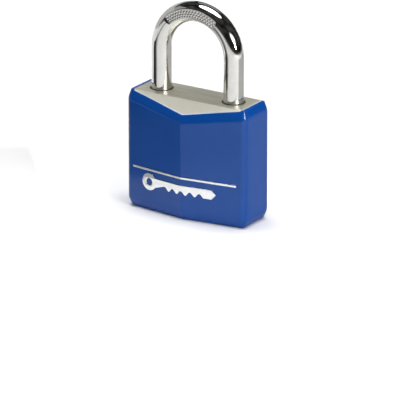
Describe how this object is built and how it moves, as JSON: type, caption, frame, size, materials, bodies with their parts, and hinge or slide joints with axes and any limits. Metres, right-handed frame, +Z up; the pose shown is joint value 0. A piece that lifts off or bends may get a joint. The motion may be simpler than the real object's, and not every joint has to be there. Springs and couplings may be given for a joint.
{
  "type": "padlock",
  "caption": "Covered padlock with a solid metal body in a coloured vinyl skin, a round U-shaped spring-lifted shackle, a keyed pin cylinder, a cam and locking levers for both legs.",
  "frame": {"origin": "middle of the underside of the padlock body", "axes": "+Z up along the shackle legs, -Y out of the front face with the raised sign, +X towards the shackle's toe leg"},
  "size_m": [0.0408, 0.0188, 0.064],
  "materials": {
    "aluminium_core": "satin, fine milled lines along the top",
    "blue_vinyl": "semi-gloss moulded vinyl",
    "silver_trim": "bright silver, raised",
    "chromed_steel": "polished chrome plate",
    "hardened_steel": "ground",
    "spring_steel": "drawn wire",
    "brass": "turned"
  },
  "bodies": {
    "lock": {"lock_body": "aluminium_core", "vinyl_cover": "blue_vinyl", "trim_bar": "silver_trim", "key_sign": "silver_trim", "cylinder_shell": "brass", "cylinder_pin": "hardened_steel", "chamber_cover": "brass", "shackle_stop_pin": "hardened_steel", "shackle_spring": "spring_steel", "pin_spring_1": "spring_steel", "pin_spring_2": "spring_steel", "pin_spring_3": "spring_steel", "pin_spring_4": "spring_steel"},
    "shackle": {"shackle": "chromed_steel"},
    "plug": {"plug": "brass", "cam": "hardened_steel", "plug_clip": "spring_steel"},
    "heel_lever": {"heel_lever": "hardened_steel"},
    "toe_lever": {"toe_lever": "hardened_steel"},
    "key_pin_1": {"key_pin_1": "brass"},
    "driver_pin_1": {"driver_pin_1": "brass"},
    "key_pin_2": {"key_pin_2": "brass"},
    "driver_pin_2": {"driver_pin_2": "brass"},
    "key_pin_3": {"key_pin_3": "brass"},
    "driver_pin_3": {"driver_pin_3": "brass"},
    "key_pin_4": {"key_pin_4": "brass"},
    "driver_pin_4": {"driver_pin_4": "brass"}
  },
  "joints": [
    {"name": "shackle_lift", "type": "slide", "parent": "lock", "child": "shackle", "axis": [0, 0, 1], "range_m": [0, 0.014], "deforming": ["shackle_spring"]},
    {"name": "plug_turn", "type": "hinge", "parent": "lock", "child": "plug", "pos_m": [0, 0, 0.012], "axis": [0, 0, 1], "range_deg": [-90, 0]},
    {"name": "heel_lever_slide", "type": "slide", "parent": "lock", "child": "heel_lever", "axis": [-1, 0, 0], "range_m": [0, 0.0018]},
    {"name": "toe_lever_slide", "type": "slide", "parent": "lock", "child": "toe_lever", "axis": [1, 0, 0], "range_m": [0, 0.0018]},
    {"name": "key_pin_1_drop", "type": "slide", "parent": "plug", "child": "key_pin_1", "axis": [0, 1, 0], "range_m": [-0.0017, 0]},
    {"name": "key_pin_2_drop", "type": "slide", "parent": "plug", "child": "key_pin_2", "axis": [0, 1, 0], "range_m": [-0.0023, 0]},
    {"name": "key_pin_3_drop", "type": "slide", "parent": "plug", "child": "key_pin_3", "axis": [0, 1, 0], "range_m": [-0.0012, 0]},
    {"name": "key_pin_4_drop", "type": "slide", "parent": "plug", "child": "key_pin_4", "axis": [0, 1, 0], "range_m": [-0.002, 0]},
    {"name": "driver_pin_1_lift", "type": "slide", "parent": "lock", "child": "driver_pin_1", "axis": [1, 0, 0], "range_m": [0, 0.0012], "stiffness_N_per_m": 100, "springref_m": -0.002, "deforming": ["pin_spring_1"]},
    {"name": "driver_pin_2_lift", "type": "slide", "parent": "lock", "child": "driver_pin_2", "axis": [1, 0, 0], "range_m": [0, 0.0012], "stiffness_N_per_m": 100, "springref_m": -0.002, "deforming": ["pin_spring_2"]},
    {"name": "driver_pin_3_lift", "type": "slide", "parent": "lock", "child": "driver_pin_3", "axis": [1, 0, 0], "range_m": [0, 0.0012], "stiffness_N_per_m": 100, "springref_m": -0.002, "deforming": ["pin_spring_3"]},
    {"name": "driver_pin_4_lift", "type": "slide", "parent": "lock", "child": "driver_pin_4", "axis": [1, 0, 0], "range_m": [0, 0.0012], "stiffness_N_per_m": 100, "springref_m": -0.002, "deforming": ["pin_spring_4"]}
  ],
  "couplings": [
    {"joint": "heel_lever_slide", "follows": "plug_turn", "m_per_rad": -0.0011459},
    {"joint": "toe_lever_slide", "follows": "plug_turn", "m_per_rad": -0.0011459}
  ]
}
